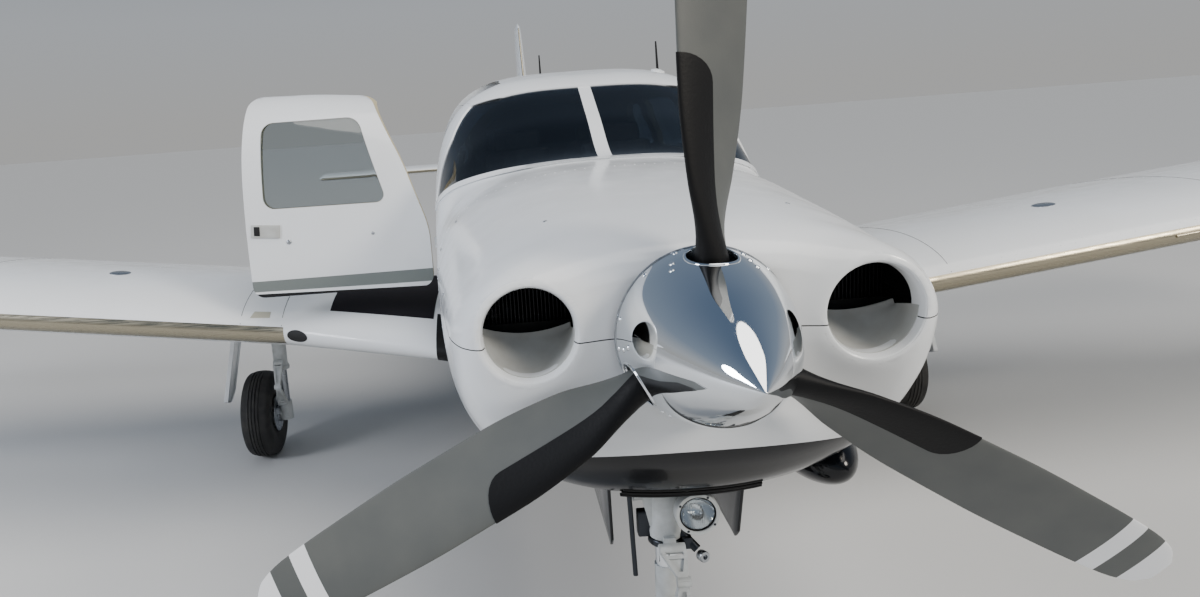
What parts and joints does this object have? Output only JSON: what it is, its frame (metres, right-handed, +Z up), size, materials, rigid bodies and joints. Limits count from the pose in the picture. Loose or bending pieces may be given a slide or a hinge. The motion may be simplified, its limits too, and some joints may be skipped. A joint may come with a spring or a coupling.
{
  "type": "light aircraft",
  "caption": "Low-wing light aircraft on retractable gear, with a nose propeller, hinged cabin and baggage doors and moving control surfaces.",
  "frame": {"origin": "on the ground under the middle of the aircraft's bounding box", "axes": "+X towards the port wing tip, +Y aft along the fuselage, +Z up"},
  "size_m": [10.8, 7.52, 2.475],
  "materials": {
    "white_paint": "gloss",
    "chrome": "polished",
    "blade": "matte",
    "steel": "satin",
    "casting": "satin",
    "tyre": "matte",
    "glass": "polished",
    "lens": "polished",
    "seat": "matte",
    "panel": "matte",
    "engine": "satin",
    "floor": "gloss"
  },
  "bodies": {
    "airframe": {"cowl_upper": "white_paint", "cowl_lower": "white_paint", "forward_deck": "white_paint", "windscreen_post": "white_paint", "cabin_roof": "white_paint", "left_cabin_side": "white_paint", "right_cabin_side": "white_paint", "tail_cone": "white_paint", "fin": "white_paint", "right_wing": "white_paint", "right_gear_door": "white_paint", "left_wing": "white_paint", "left_gear_door": "white_paint", "cabin_floor": "floor", "right_nose_door": "floor", "left_nose_door": "floor", "firewall": "steel", "nose_gear_mount": "steel", "right_main_leg": "casting", "left_main_leg": "casting", "windscreen_left": "glass", "windscreen_right": "glass", "left_front_window": "glass", "left_middle_window": "glass", "left_rear_window": "glass", "right_middle_window": "glass", "right_rear_window": "glass", "right_front_seat": "seat", "left_front_seat": "seat", "rear_seat": "seat", "instrument_panel": "panel", "rear_bulkhead": "panel", "engine_block": "engine"},
    "propeller": {"spinner": "chrome", "propeller_hub": "steel", "propeller_blade_1": "blade", "propeller_blade_2": "blade", "propeller_blade_3": "blade"},
    "nose_gear": {"nose_leg": "casting", "nose_fork": "casting", "nose_torque_link": "casting", "landing_light": "lens"},
    "nose_wheel": {"nose_wheel": "steel", "nose_tyre": "tyre"},
    "left_wheel": {"left_main_wheel": "steel", "left_main_tyre": "tyre"},
    "right_wheel": {"right_main_wheel": "steel", "right_main_tyre": "tyre"},
    "front_door": {"front_door": "white_paint", "front_door_window": "glass"},
    "baggage_door": {"baggage_door": "white_paint"},
    "left_flap": {"left_flap": "white_paint"},
    "right_flap": {"right_flap": "white_paint"},
    "left_aileron": {"left_aileron": "white_paint"},
    "right_aileron": {"right_aileron": "white_paint"},
    "tailplane": {"tailplane": "white_paint", "tailplane_tab": "white_paint"},
    "rudder": {"rudder": "white_paint"}
  },
  "joints": [
    {"name": "propeller_spin", "type": "hinge", "parent": "airframe", "child": "propeller", "pos_m": [0, -3.443, 1.215], "axis": [0, -1, 0], "continuous": true},
    {"name": "nose_steering", "type": "hinge", "parent": "airframe", "child": "nose_gear", "pos_m": [-0.036, -3.105, 0.5], "axis": [0, 0, 1], "range_deg": [-30, 30]},
    {"name": "nose_wheel_spin", "type": "hinge", "parent": "nose_gear", "child": "nose_wheel", "pos_m": [-0.036, -3.105, 0.178], "axis": [1, 0, 0], "continuous": true},
    {"name": "left_wheel_spin", "type": "hinge", "parent": "airframe", "child": "left_wheel", "pos_m": [1.645, -0.78, 0.222], "axis": [1, 0, 0], "continuous": true},
    {"name": "right_wheel_spin", "type": "hinge", "parent": "airframe", "child": "right_wheel", "pos_m": [-1.645, -0.78, 0.222], "axis": [1, 0, 0], "continuous": true},
    {"name": "front_door_hinge", "type": "hinge", "parent": "airframe", "child": "front_door", "pos_m": [-0.617, -1.713, 1.2], "axis": [0, 0, 1], "range_deg": [-90, 10]},
    {"name": "baggage_door_hinge", "type": "hinge", "parent": "airframe", "child": "baggage_door", "pos_m": [-0.59149, -0.145, 1.15], "axis": [0, 0, 1], "range_deg": [0, 110]},
    {"name": "left_flap_hinge", "type": "hinge", "parent": "airframe", "child": "left_flap", "pos_m": [1.275, -0.4109, 0.82566], "axis": [0.9925, -0.003, 0.1222], "range_deg": [-40, 0]},
    {"name": "right_flap_hinge", "type": "hinge", "parent": "airframe", "child": "right_flap", "pos_m": [-1.275, -0.4109, 0.82566], "axis": [0.9925, 0.003, -0.1222], "range_deg": [-40, 0]},
    {"name": "left_aileron_hinge", "type": "hinge", "parent": "airframe", "child": "left_aileron", "pos_m": [2.74, -0.3997, 1.00482], "axis": [0.9912, -0.0429, 0.1249], "range_deg": [-12.5, 25]},
    {"name": "right_aileron_hinge", "type": "hinge", "parent": "airframe", "child": "right_aileron", "pos_m": [-2.74, -0.3997, 1.00482], "axis": [0.9912, 0.0429, -0.1249], "range_deg": [-12.5, 25]},
    {"name": "tailplane_hinge", "type": "hinge", "parent": "airframe", "child": "tailplane", "pos_m": [0, 3.158, 1.19], "axis": [1, 0, 0], "range_deg": [-2, 14]},
    {"name": "rudder_hinge", "type": "hinge", "parent": "airframe", "child": "rudder", "pos_m": [0, 3.3, 1.345], "axis": [0, 0.1359, 0.9907], "range_deg": [-27, 27]}
  ],
  "couplings": [
    {"joint": "right_flap_hinge", "follows": "left_flap_hinge", "ratio": 1}
  ]
}
